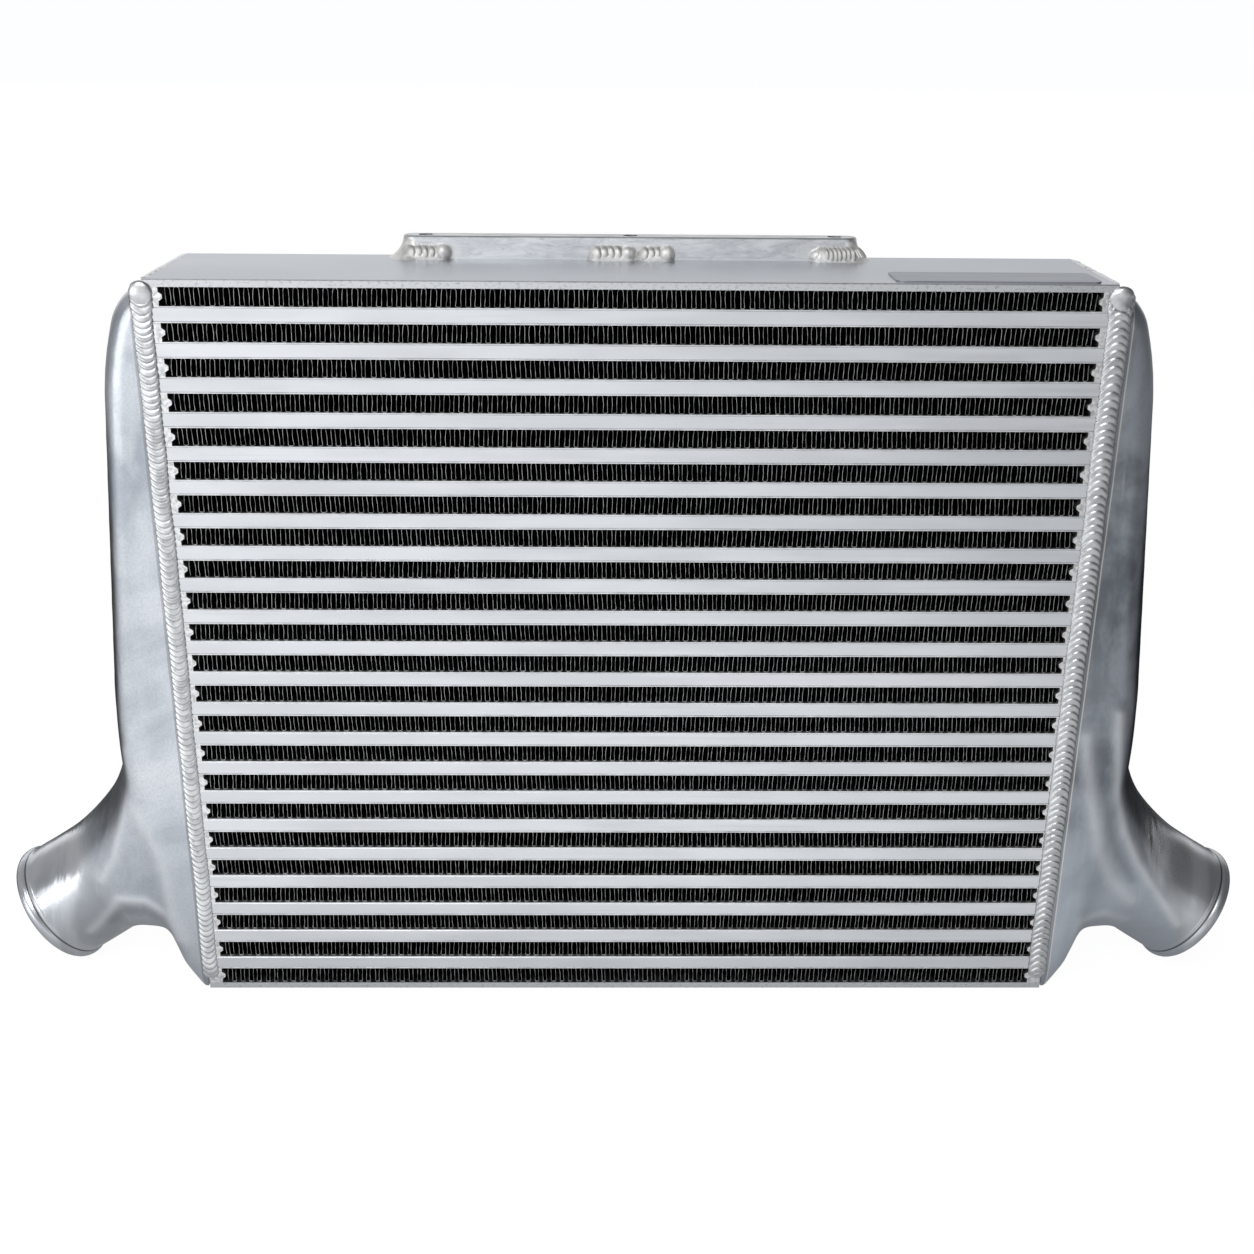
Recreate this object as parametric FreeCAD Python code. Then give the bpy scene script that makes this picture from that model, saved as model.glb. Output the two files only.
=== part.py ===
import FreeCAD, Part
import math
import os

# Bar-and-plate charge air cooler: a brazed core between two cast end tanks with hose spouts.
# Millimetres. The origin is the centre of the core's bottom face. +X runs across the core to
# the right tank, the front face looks along -Y, and +Z is up.

Vector = FreeCAD.Vector

# Core
core_width = 526.0
core_depth = 100.0
cooling_rows = 23
fin_height = 10.4
bar_height = 7.9
sheet_thickness = 0.5
plate_thickness = 4.2
plate_corner_chamfer = 0.6

# Long bars that close the charge air passages at the front and rear
tube_bar_depth = 8.0
tube_bar_chamfer = 0.5

# Short bars that close the cooling rows beside the tanks, with a nose towards the fins
closing_bar_width = 8.2
closing_bar_nose = 2.0
nose_root_height = 5.0
nose_tip_height = 2.1

# Folded fins. The walls stand several times further apart than the real ones, 2.65 mm.
fin_wall_count = 40
fin_thickness = 0.3
fin_recess = 1.5
turbulator_wall_count = 8
turbulator_thickness = 0.3
turbulator_end_gap = 0.5

# Cast end tanks: the corners of the outline, seen from the front, outwards from the seam with
# the core. Arcs round the corners off.
tank_wall = 4.5
tank_edge_radius = 12.0
cavity_edge_chamfer = 5.0
shoulder_width = 18.5
shoulder_drop = 13.5
cheek_width = 28.0
cheek_drop = 48.5
belly_width = 45.0
belly_height = 162.0
waist_width = 37.5
waist_height = 103.0
lobe_width = 28.5
lobe_height = 47.5
foot_width = 19.0
foot_height = 17.0
toe_width = 8.0

# Hose spouts, cast with the tanks
spout_radius = 38.1
spout_wall = 3.0
spout_angle = 33.0
spout_reach = 106.5
spout_mouth_height = 32.5
spout_length = 42.0
bead_height = 1.6
bead_length = 6.0
bead_rear_slope = 1.5
bead_front_slope = 0.6
bead_lip_height = 1.0
elbow_sections = 3
elbow_height = 178.0
elbow_inner_height = 26.0
elbow_upper_pull = 46.0
elbow_upper_lean = 6.0
elbow_inner_pull = 26.0
elbow_spout_pull = 26.0
elbow_lower_pull = 6.0
elbow_root_width = 41.5
elbow_root_corner = 30.0
elbow_side_inset = 2.0
elbow_corner_share = 0.95
spout_flat_angle = 12.0
bore_overrun = 1.0

# Welds round the seams of the tanks
bead_width = 12.0
bead_crown = 2.6
bead_top_gap = 3.0
bead_foot_gap = 7.0
seam_weld_width = 4.0
seam_weld_crown = 0.5
seam_weld_end_gap = 4.0

# Rail on the top plate, with three vertical bolt holes
rail_length = 266.0
rail_depth = 14.5
rail_height = 13.0
rail_rear_gap = 1.5
rail_edge_chamfer = 0.8
rail_hole_radius = 4.25
rail_hole_spacing = 120.0
rail_hole_depth = 11.0
drill_overrun = 1.0

# Fillet welds along the rail's front foot: one flares round each end, two lie midway
rail_weld_rise = 8.5
rail_weld_spread = 6.0
rail_weld_bulge = 0.66
rail_flare_rise = 11.0
rail_flare_spread = 9.0
rail_flare_bulge = 0.38
rail_flare_turn = 120.0
rail_end_weld_run = 15.0
first_middle_weld_start = -19.0
first_middle_weld_run = 17.5
second_middle_weld_start = 11.0
second_middle_weld_run = 9.0

# Bare name plate on the top plate
name_plate_length = 112.0
name_plate_depth = 33.0
name_plate_thickness = 0.8
name_plate_corner = 4.0
name_plate_end_gap = 8.0
name_plate_front_gap = 4.0

# Sizes that follow from those above
half_width = core_width / 2
front = -core_depth / 2
rear = core_depth / 2
row_pitch = fin_height + bar_height + 2 * sheet_thickness
passage_height = bar_height + 2 * sheet_thickness
passages = cooling_rows - 1
core_height = cooling_rows * fin_height + passages * passage_height + 2 * plate_thickness
spout_tilt = math.radians(spout_angle)
fin_start = closing_bar_width + closing_bar_nose
rail_front = rear - rail_rear_gap - rail_depth
rail_middle = rail_front + rail_depth / 2
rail_end_radius = rail_depth / 2
rail_hub_x = rail_length / 2 - rail_end_radius
smallest_edge = 0.001
full_turn = 360.0
quarter_turn = full_turn / 4


def row_base(row):
    """Height of the underside of a cooling row, counted from the bottom."""
    return plate_thickness + row * row_pitch


def passage_base(passage):
    """Height of the underside of a charge air passage, sheets included."""
    return row_base(passage) + fin_height


def box(x0, x1, y0, y1, z0, z1):
    return Part.makeBox(x1 - x0, y1 - y0, z1 - z0, Vector(x0, y0, z0))


def prism(points, travel):
    """Solid of a closed outline of straight runs, moved along a vector."""
    return Part.Face(Part.makePolygon(points + [points[0]])).extrude(travel)


def zigzag(length, height, walls, thickness):
    """Outline of a folded strip as pairs (along, up): the lower side, then the upper one back."""
    step = length / walls
    slope = math.atan2(height, step)
    rise = thickness / math.cos(slope)
    lower = [(i * step, (height - rise) * (i % 2)) for i in range(walls + 1)]
    upper = [(along, up + rise) for along, up in reversed(lower)]
    return lower + upper


def plate(z0, outer_up):
    """Top or bottom plate of the core, with its two long outer edges broken."""
    z1 = z0 + plate_thickness
    broken, square = (z1, z0) if outer_up else (z0, z1)
    inward = -plate_corner_chamfer if outer_up else plate_corner_chamfer
    points = [
        Vector(-half_width, front, square),
        Vector(-half_width, front, broken + inward),
        Vector(-half_width, front + plate_corner_chamfer, broken),
        Vector(-half_width, rear - plate_corner_chamfer, broken),
        Vector(-half_width, rear, broken + inward),
        Vector(-half_width, rear, square),
    ]
    return prism(points, Vector(core_width, 0, 0))


def cooling_fin(row):
    base = row_base(row)
    x0 = fin_start - half_width
    y0 = front + fin_recess
    outline = zigzag(core_width - 2 * fin_start, fin_height, fin_wall_count, fin_thickness)
    points = [Vector(x0 + along, y0, base + up) for along, up in outline]
    return prism(points, Vector(0, core_depth - 2 * fin_recess, 0))


def turbulator(passage):
    """Folded strip inside a charge air passage; the air runs along its folds."""
    base = passage_base(passage) + sheet_thickness
    start = front + tube_bar_depth
    span = core_depth - 2 * tube_bar_depth
    outline = zigzag(span, bar_height, turbulator_wall_count, turbulator_thickness)
    points = [Vector(-half_width + turbulator_end_gap, start + along, base + up) for along, up in outline]
    return prism(points, Vector(core_width - 2 * turbulator_end_gap, 0, 0))


def parting_sheets():
    sheets = []
    for passage in range(passages):
        lower = passage_base(passage)
        upper = lower + passage_height - sheet_thickness
        for z0 in (lower, upper):
            sheets.append(box(-half_width, half_width, front, rear, z0, z0 + sheet_thickness))
    return sheets


def tube_bar(passage, face):
    """Long bar at the front (face -1) or rear (face 1), its two outer edges broken."""
    z0 = passage_base(passage) + sheet_thickness
    z1 = z0 + bar_height
    outer = face * core_depth / 2
    shoulder = outer - face * tube_bar_chamfer
    inner = outer - face * tube_bar_depth
    points = [
        Vector(-half_width, inner, z0),
        Vector(-half_width, shoulder, z0),
        Vector(-half_width, outer, z0 + tube_bar_chamfer),
        Vector(-half_width, outer, z1 - tube_bar_chamfer),
        Vector(-half_width, shoulder, z1),
        Vector(-half_width, inner, z1),
    ]
    return prism(points, Vector(core_width, 0, 0))


def closing_bar(row, side):
    """Short bar at the end of a cooling row, on the left (side -1) or right (side 1)."""
    z0 = row_base(row)
    middle = fin_height / 2
    outline = [
        (0, 0),
        (closing_bar_width, 0),
        (closing_bar_width, middle - nose_root_height / 2),
        (fin_start, middle - nose_tip_height / 2),
        (fin_start, middle + nose_tip_height / 2),
        (closing_bar_width, middle + nose_root_height / 2),
        (closing_bar_width, fin_height),
        (0, fin_height),
    ]
    points = [Vector(side * (half_width - inward), front, z0 + up) for inward, up in outline]
    return prism(points, Vector(0, core_depth, 0))


def tank_outline():
    """Corners of the tank's outline as pairs (out, up), from the top of the seam to its foot."""
    return [
        (0, core_height),
        (shoulder_width, core_height - shoulder_drop),
        (cheek_width, core_height - cheek_drop),
        (belly_width, belly_height),
        (waist_width, waist_height),
        (lobe_width, lobe_height),
        (foot_width, foot_height),
        (toe_width, 0),
    ]


def moved_inwards(corners, inset):
    """The same outline made smaller by inset, from the seam to a floor raised by inset."""
    lines = [(1, 0, 0)]
    for (x0, z0), (x1, z1) in zip(corners, corners[1:]):
        length = math.hypot(x1 - x0, z1 - z0)
        across_x = (z1 - z0) / length
        across_z = (x0 - x1) / length
        lines.append((across_x, across_z, across_x * x0 + across_z * z0 + inset))
    lines.append((0, 1, inset))
    moved = []
    for (ax, az, a), (bx, bz, b) in zip(lines, lines[1:]):
        cross = ax * bz - az * bx
        moved.append(((a * bz - b * az) / cross, (ax * b - bx * a) / cross))
    return moved


def rounded_run(points):
    """Edges along the points, with an arc at each corner as large as the shorter run allows."""
    edges = []
    reached = points[0]
    for before, corner, after in zip(points, points[1:], points[2:]):
        reach = min((before - corner).Length, (after - corner).Length) / 2
        backward = (before - corner).normalize()
        forward = (after - corner).normalize()
        half_turn = (math.pi - backward.getAngle(forward)) / 2
        radius = reach / math.tan(half_turn)
        inward = (backward + forward).normalize()
        middle = corner + inward * (radius / math.cos(half_turn) - radius)
        start = corner + backward * reach
        end = corner + forward * reach
        if (start - reached).Length > smallest_edge:
            edges.append(Part.makeLine(reached, start))
        edges.append(Part.Arc(start, middle, end).toShape())
        reached = end
    if (points[-1] - reached).Length > smallest_edge:
        edges.append(Part.makeLine(reached, points[-1]))
    return edges


def tank_body(side, inset):
    """Tank without its spout, made smaller all round by inset for the cavity."""
    half_depth = core_depth / 2 - inset
    points = [
        Vector(side * (half_width + out), -half_depth, up)
        for out, up in moved_inwards(tank_outline(), inset)
    ]
    margin = 2 * tank_edge_radius
    before = points[0] + (points[0] - points[1]).normalize() * margin
    after = points[-1] + (points[-1] - points[-2]).normalize() * margin
    edges = [Part.makeLine(before, points[0])] + rounded_run(points)
    edges.append(Part.makeLine(points[-1], after))
    edges.append(Part.makeLine(after, before))
    body = Part.Face(Part.Wire(edges)).extrude(Vector(0, 2 * half_depth, 0))
    outline_edges = [
        edge
        for edge in body.Edges
        if edge.BoundBox.YLength < smallest_edge and edge.Length < core_height
    ]
    if inset:
        body = body.makeChamfer(cavity_edge_chamfer, outline_edges)
    else:
        body = body.makeFillet(tank_edge_radius, outline_edges)
    x0, x1 = sorted((side * half_width, side * (half_width + belly_width + margin)))
    return body.common(box(x0, x1, -half_depth, half_depth, inset, core_height + margin))


def bezier(p0, p1, p2, p3, s):
    r = 1 - s
    return p0 * (r ** 3) + p1 * (3 * r * r * s) + p2 * (3 * r * s * s) + p3 * (s ** 3)


def rounded_section(lower, upper, half_depth, corner):
    """Wire of a rounded rectangle that spans two points of the middle plane, Y across it."""
    centre = (lower + upper) * 0.5
    half = (upper - lower).Length / 2
    along = (upper - lower).normalize()
    across = Vector(0, 1, 0)
    corner = min(corner, elbow_corner_share * half, elbow_corner_share * half_depth)
    diagonal = corner * math.sqrt(0.5)
    arcs = []
    for a_sign, y_sign in [(1, 1), (-1, 1), (-1, -1), (1, -1)]:
        hub = centre + along * (a_sign * (half - corner)) + across * (y_sign * (half_depth - corner))
        at_end = hub + along * (a_sign * corner)
        at_side = hub + across * (y_sign * corner)
        middle = hub + along * (a_sign * diagonal) + across * (y_sign * diagonal)
        arcs.append((at_end, middle, at_side) if a_sign == y_sign else (at_side, middle, at_end))
    edges = []
    for i, (first, middle, last) in enumerate(arcs):
        edges.append(Part.Arc(first, middle, last).toShape())
        edges.append(Part.makeLine(last, arcs[(i + 1) % 4][0]))
    return Part.Wire(edges)


def round_section(centre, along, radius):
    """Wire of a circle in eight arcs, which match the corners and sides of a rounded rectangle."""
    corner_turn = quarter_turn - 2 * spout_flat_angle
    across = Vector(0, 1, 0)

    def at(degrees):
        turn = math.radians(degrees)
        return centre + along * (radius * math.cos(turn)) + across * (radius * math.sin(turn))

    edges = []
    for corner in range(4):
        first = corner * quarter_turn + spout_flat_angle
        last = first + corner_turn
        edges.append(Part.Arc(at(first), at(first + corner_turn / 2), at(last)).toShape())
        after = last + 2 * spout_flat_angle
        edges.append(Part.Arc(at(last), at(last + spout_flat_angle), at(after)).toShape())
    return Part.Wire(edges)


def spout_frame(side):
    """Centre of the spout's mouth, its outward direction and the direction across it, upwards."""
    mouth = Vector(side * (half_width + spout_reach), 0, spout_mouth_height)
    outward = Vector(side * math.cos(spout_tilt), 0, -math.sin(spout_tilt))
    upward = Vector(side * math.sin(spout_tilt), 0, math.cos(spout_tilt))
    return mouth, outward, upward


def elbow(side, inset, wall):
    """Loft from the tank's body to the round spout, smaller by inset at its root."""
    mouth, outward, upward = spout_frame(side)
    radius = spout_radius - wall
    hub = mouth - outward * spout_length
    upper_start = Vector(side * (half_width + elbow_root_width - inset), 0, elbow_height)
    lower_start = Vector(side * (half_width + inset), 0, elbow_inner_height + inset)
    upper_end = hub + upward * radius
    lower_end = hub - upward * radius
    upper_points = [
        upper_start,
        upper_start + Vector(side * elbow_upper_lean, 0, -elbow_upper_pull),
        upper_end - outward * elbow_spout_pull,
        upper_end,
    ]
    lower_points = [
        lower_start,
        lower_start + Vector(side * elbow_inner_pull, 0, 0),
        lower_end - outward * elbow_lower_pull,
        lower_end,
    ]
    root_half_depth = core_depth / 2 - inset - elbow_side_inset
    root_corner = elbow_root_corner - inset
    wires = []
    for i in range(elbow_sections - 1):
        s = i / (elbow_sections - 1)
        ease = s * s * (3 - 2 * s)
        half_depth = root_half_depth + (radius - root_half_depth) * ease
        corner = root_corner + (radius - root_corner) * ease
        lower = bezier(*lower_points, s)
        upper = bezier(*upper_points, s)
        wires.append(rounded_section(lower, upper, half_depth, corner))
    wires.append(round_section(hub, upward, radius))
    return Part.makeLoft(wires, True, False)


def spout(side, radius, overrun):
    """Round tube from the elbow's end to the mouth."""
    mouth, outward, upward = spout_frame(side)
    hub = mouth - outward * spout_length
    return Part.Face(round_section(hub, upward, radius)).extrude(outward * (spout_length + overrun))


def spout_bead(side):
    """Raised ring at the spout's mouth, revolved about the spout's axis."""
    mouth, outward, upward = spout_frame(side)
    outline = [
        (-bead_length, spout_radius - spout_wall / 2),
        (-bead_length, spout_radius),
        (bead_rear_slope - bead_length, spout_radius + bead_height),
        (-bead_front_slope, spout_radius + bead_height),
        (0, spout_radius + bead_lip_height),
        (0, spout_radius - spout_wall / 2),
    ]
    points = [mouth + outward * along + upward * away for along, away in outline]
    return Part.Face(Part.makePolygon(points + [points[0]])).revolve(mouth, outward, full_turn)


def tank(side):
    outer = tank_body(side, 0).fuse([elbow(side, 0, 0), spout(side, spout_radius, 0), spout_bead(side)])
    bore_radius = spout_radius - spout_wall
    cavity = tank_body(side, tank_wall).fuse(
        [elbow(side, tank_wall, spout_wall), spout(side, bore_radius, bore_overrun)]
    )
    return outer.cut(cavity).removeSplitter()


def crowned_bead(start, end, outward, width, crown):
    """Weld bead with a segment section on a flat face and a domed end at each side."""
    run = end - start
    right = run.cross(outward).normalize() * (width / 2)
    peak = outward * crown
    radius = (width ** 2 / 4 + crown ** 2) / (2 * crown)
    quarter_height = math.sqrt(radius ** 2 - width ** 2 / 16) - (radius - crown)
    arc = Part.Arc(start - right, start + peak, start + right)
    section = Part.Face(Part.Wire([arc.toShape(), Part.makeLine(start + right, start - right)]))
    half_arc = Part.Arc(start + peak, start + right * 0.5 + outward * quarter_height, start + right)
    half_outline = [
        half_arc.toShape(),
        Part.makeLine(start + right, start),
        Part.makeLine(start, start + peak),
    ]
    dome = Part.Face(Part.Wire(half_outline)).revolve(start, outward, full_turn)
    other_dome = dome.copy()
    other_dome.translate(run)
    return section.extrude(run).fuse([dome, other_dome]).removeSplitter()


def tank_weld(side):
    """Beads along one tank's seam: front, rear and top."""
    x = side * half_width
    low = bead_foot_gap + bead_width / 2
    high = core_height - bead_top_gap - bead_width / 2
    beads = []
    for face in (-1, 1):
        y = face * core_depth / 2
        beads.append(
            crowned_bead(Vector(x, y, low), Vector(x, y, high), Vector(0, face, 0), bead_width, bead_crown)
        )
    reach = core_depth / 2 - seam_weld_end_gap
    beads.append(
        crowned_bead(
            Vector(x, -reach, core_height),
            Vector(x, reach, core_height),
            Vector(0, 0, 1),
            seam_weld_width,
            seam_weld_crown,
        )
    )
    return beads


def mounting_rail():
    """Bar with rounded ends, broken upper edge and blind holes for the bolts."""
    z = core_height
    middle = box(-rail_hub_x, rail_hub_x, rail_front, rail_front + rail_depth, z, z + rail_height)
    ends = [
        Part.makeCylinder(rail_end_radius, rail_height, Vector(sign * rail_hub_x, rail_middle, z))
        for sign in (-1, 1)
    ]
    rail = middle.fuse(ends).removeSplitter()
    upper_edges = [edge for edge in rail.Edges if edge.BoundBox.ZMin > z + rail_height / 2]
    rail = rail.makeChamfer(rail_edge_chamfer, upper_edges)
    drill_base = z + rail_height - rail_hole_depth
    drill_length = rail_hole_depth + drill_overrun
    places = [Vector(i * rail_hole_spacing, rail_middle, drill_base) for i in (-1, 0, 1)]
    drills = [Part.makeCylinder(rail_hole_radius, drill_length, place) for place in places]
    return rail.cut(drills)


def fillet_weld_section(corner, rise, spread, bulge):
    """Face across a fillet weld in front of the rail, in the corner that it makes with the plate."""
    up = Vector(0, 0, rise)
    out = Vector(0, -spread, 0)
    outline = [
        Part.Arc(corner + out, corner + (up + out) * bulge, corner + up).toShape(),
        Part.makeLine(corner + up, corner),
        Part.makeLine(corner, corner + out),
    ]
    return Part.Face(Part.Wire(outline))


def rail_weld_run(x0, x1):
    """Straight fillet weld along the rail's front foot."""
    section = fillet_weld_section(
        Vector(x0, rail_front, core_height), rail_weld_rise, rail_weld_spread, rail_weld_bulge
    )
    return section.extrude(Vector(x1 - x0, 0, 0))


def rail_weld_cap(x, side):
    """Rounded end of such a weld, on its left (side -1) or right (side 1)."""
    foot = Vector(x, rail_front, core_height)
    section = fillet_weld_section(foot, rail_weld_rise, rail_weld_spread, rail_weld_bulge)
    return section.revolve(foot, Vector(0, 0, side), quarter_turn)


def rail_weld_flare(side):
    """Weld that spreads round one end of the rail."""
    foot = Vector(side * rail_hub_x, rail_front, core_height)
    section = fillet_weld_section(foot, rail_flare_rise, rail_flare_spread, rail_flare_bulge)
    hub = Vector(side * rail_hub_x, rail_middle, core_height)
    return section.revolve(hub, Vector(0, 0, side), rail_flare_turn)


def rail_welds():
    """Two welds that flare round the rail's ends and two short ones midway."""
    welds = []
    for side in (-1, 1):
        outer = side * rail_hub_x
        inner = side * (rail_hub_x - rail_end_weld_run)
        run = rail_weld_run(outer, inner)
        welds.append(run.fuse([rail_weld_cap(inner, -side), rail_weld_flare(side)]).removeSplitter())
    for x0, run_length in (
        (first_middle_weld_start, first_middle_weld_run),
        (second_middle_weld_start, second_middle_weld_run),
    ):
        x1 = x0 + run_length
        caps = [rail_weld_cap(x0, -1), rail_weld_cap(x1, 1)]
        welds.append(rail_weld_run(x0, x1).fuse(caps).removeSplitter())
    return welds


def name_plate():
    x0 = half_width - name_plate_end_gap - name_plate_length
    y0 = front + name_plate_front_gap
    blank = Part.makeBox(
        name_plate_length, name_plate_depth, name_plate_thickness, Vector(x0, y0, core_height)
    )
    corners = [edge for edge in blank.Edges if edge.BoundBox.ZLength > name_plate_thickness / 2]
    return blank.makeFillet(name_plate_corner, corners)


def write(name, solids):
    shape = solids[0] if len(solids) == 1 else Part.makeCompound(solids)
    shape.exportStep("parts/" + name + ".step")


def main():
    os.makedirs("parts", exist_ok=True)
    write("bottom_plate", [plate(0, False)])
    write("top_plate", [plate(core_height - plate_thickness, True)])
    for row in range(cooling_rows):
        write("cooling_fin_%02d" % (row + 1), [cooling_fin(row)])
    for passage in range(passages):
        write("tube_bars_%02d" % (passage + 1), [tube_bar(passage, face) for face in (-1, 1)])
    write("turbulators", [turbulator(passage) for passage in range(passages)])
    write("parting_sheets", parting_sheets())
    write("closing_bars_left", [closing_bar(row, -1) for row in range(cooling_rows)])
    write("closing_bars_right", [closing_bar(row, 1) for row in range(cooling_rows)])
    write("left_tank", [tank(-1)])
    write("right_tank", [tank(1)])
    write("left_tank_weld", tank_weld(-1))
    write("right_tank_weld", tank_weld(1))
    write("mounting_rail", [mounting_rail()])
    write("rail_welds", rail_welds())
    write("name_plate", [name_plate()])


main()
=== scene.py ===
import math
import random

import bpy
import numpy as np
from mathutils import Matrix, Vector

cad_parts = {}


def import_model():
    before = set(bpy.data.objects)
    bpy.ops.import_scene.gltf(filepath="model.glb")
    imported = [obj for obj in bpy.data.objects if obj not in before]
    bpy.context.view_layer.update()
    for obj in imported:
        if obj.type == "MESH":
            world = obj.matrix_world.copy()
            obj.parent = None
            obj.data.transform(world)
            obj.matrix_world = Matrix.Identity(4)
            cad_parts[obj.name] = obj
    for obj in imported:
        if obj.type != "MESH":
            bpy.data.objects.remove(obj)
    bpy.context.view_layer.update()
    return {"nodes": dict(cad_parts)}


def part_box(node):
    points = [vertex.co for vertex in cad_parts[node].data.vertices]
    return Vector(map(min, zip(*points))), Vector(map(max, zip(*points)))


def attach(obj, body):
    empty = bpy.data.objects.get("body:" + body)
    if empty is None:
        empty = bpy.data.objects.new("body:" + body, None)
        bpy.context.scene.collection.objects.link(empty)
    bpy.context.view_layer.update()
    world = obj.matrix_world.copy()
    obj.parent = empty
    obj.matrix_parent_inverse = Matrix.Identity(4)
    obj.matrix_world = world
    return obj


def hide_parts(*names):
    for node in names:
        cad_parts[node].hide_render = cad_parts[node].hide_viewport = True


# A bar-and-plate charge air cooler on a pale floor. Metres, in the part's own frame: +X runs
# across the core, the front face looks along -Y, and +Z is up.

MM = 0.001

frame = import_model()
nodes = frame["nodes"]


def span(node):
    """Lowest and highest corner of a node."""
    low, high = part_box(node)
    return np.array(low), np.array(high)


half_width, half_depth, core_top = span("top_plate")[1]
fin_front = span("cooling_fin_01")[1][1]
rail_low, rail_high = span("mounting_rail")
rail_top = rail_high[2]

# The spouts point outward and down from the foot of each tank.
mouth_reach = 369.5 * MM
mouth_height = 32.5 * MM
spout_outward = 0.838671
spout_downward = 0.544639
mouth_along = mouth_reach * spout_outward - mouth_height * spout_downward


def placed(name, data):
    """A new object in the scene."""
    made = bpy.data.objects.new(name, data)
    bpy.context.scene.collection.objects.link(made)
    return made


# For each side: how far a seam weld's middle lies inside the seam at the floor, how much it leans
# outward per metre of height, its half width as a share at the floor and what that gains per metre.
weld_line = {
    -1: (1.4 * MM, 0.0060, 0.88, 0.40),
    1: (2.9 * MM, 0.0110, 1.06, 0.36),
}


# Materials


def fill(node, **values):
    """Sets inputs of a node by name, with _ for a space."""
    for key, value in values.items():
        node.inputs[key.replace("_", " ")].default_value = value


def map_range(tree, source, low, high, at_low=0.0, at_high=1.0):
    """Runs smoothly from one level to another as the source goes from low to high."""
    made = tree.nodes.new("ShaderNodeMapRange")
    made.interpolation_type = "SMOOTHSTEP"
    tree.links.new(source, made.inputs["Value"])
    fill(made, From_Min=low, From_Max=high, To_Min=at_low, To_Max=at_high)
    return made.outputs["Result"]


def combine(tree, operation, first, second=0.0):
    """One step of arithmetic on two node outputs or numbers."""
    made = tree.nodes.new("ShaderNodeMath")
    made.operation = operation
    for socket, value in zip(made.inputs, (first, second)):
        if isinstance(value, (int, float)):
            socket.default_value = value
        else:
            tree.links.new(value, socket)
    return made.outputs["Value"]


class Shader:
    """A node material that is built from short calls."""

    def __init__(self, name, **values):
        self.material = bpy.data.materials.new(name)
        self.material.use_nodes = True
        self.tree = self.material.node_tree
        self.bsdf = self.tree.nodes["Principled BSDF"]
        coordinates = self.tree.nodes.new("ShaderNodeTexCoord")
        self.place = coordinates.outputs["Object"]
        fill(self.bsdf, **values)

    def node(self, kind, **settings):
        made = self.tree.nodes.new(kind)
        for key, value in settings.items():
            setattr(made, key, value)
        return made

    def link(self, source, target):
        self.tree.links.new(source, target)

    def stretched(self, scale):
        """The place in the frame, scaled by three factors."""
        mapping = self.node("ShaderNodeMapping")
        fill(mapping, Scale=scale)
        self.link(self.place, mapping.inputs["Vector"])
        return mapping.outputs["Vector"]

    def noise(self, scale, detail=3.0, roughness=0.5, stretch=(1, 1, 1), distortion=0.0):
        made = self.node("ShaderNodeTexNoise")
        self.link(self.stretched(stretch), made.inputs["Vector"])
        fill(made, Scale=scale, Detail=detail, Roughness=roughness, Distortion=distortion)
        return made.outputs["Fac"]

    def spots(self, scale, radius, soft=0.4):
        """1 in small round spots and 0 between them."""
        made = self.node("ShaderNodeTexVoronoi")
        self.link(self.place, made.inputs["Vector"])
        fill(made, Scale=scale)
        return self.ramp(made.outputs["Distance"], radius * soft, radius, 1, 0)

    def ramp(self, value, *limits):
        return map_range(self.tree, value, *limits)

    def math(self, operation, first, second=0.0):
        return combine(self.tree, operation, first, second)

    def times(self, first, second):
        return self.math("MULTIPLY", first, second)

    def plus(self, first, second):
        return self.math("ADD", first, second)

    def minus(self, first, second):
        return self.math("SUBTRACT", first, second)

    def mix(self, factor, first, second):
        made = self.node("ShaderNodeMix", data_type="RGBA")
        self.link(factor, made.inputs["Factor"])
        for socket, value in ((made.inputs[6], first), (made.inputs[7], second)):
            if isinstance(value, tuple):
                socket.default_value = value
            else:
                self.link(value, socket)
        return made.outputs[2]

    def axis(self, name):
        made = self.node("ShaderNodeSeparateXYZ")
        self.link(self.place, made.inputs["Vector"])
        return made.outputs[name]

    def along(self, direction):
        """How far a place lies along a direction."""
        made = self.node("ShaderNodeVectorMath", operation="DOT_PRODUCT")
        self.link(self.place, made.inputs[0])
        made.inputs[1].default_value = direction
        return made.outputs["Value"]

    def depth(self):
        """Distance from the middle of the core towards its front or rear."""
        return self.math("ABSOLUTE", self.axis("Y"))

    def painted(self, name):
        """A value that the mesh carries on its points."""
        return self.node("ShaderNodeAttribute", attribute_name=name).outputs["Fac"]

    def colour(self, source):
        self.link(source, self.bsdf.inputs["Base Color"])

    def roughness(self, source):
        self.link(source, self.bsdf.inputs["Roughness"])

    def bump(self, source, strength, distance):
        made = self.node("ShaderNodeBump")
        fill(made, Strength=strength, Distance=distance)
        self.link(source, made.inputs["Height"])
        normal = self.bsdf.inputs["Normal"]
        if normal.is_linked:
            self.link(normal.links[0].from_socket, made.inputs["Normal"])
        self.link(made.outputs["Normal"], normal)


def grey(value, blue=0.0):
    """A grey that is cooler by a share of blue, or warmer below 0."""
    return (value, value * (1 + blue * 0.4), value * (1 + blue), 1.0)


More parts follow.
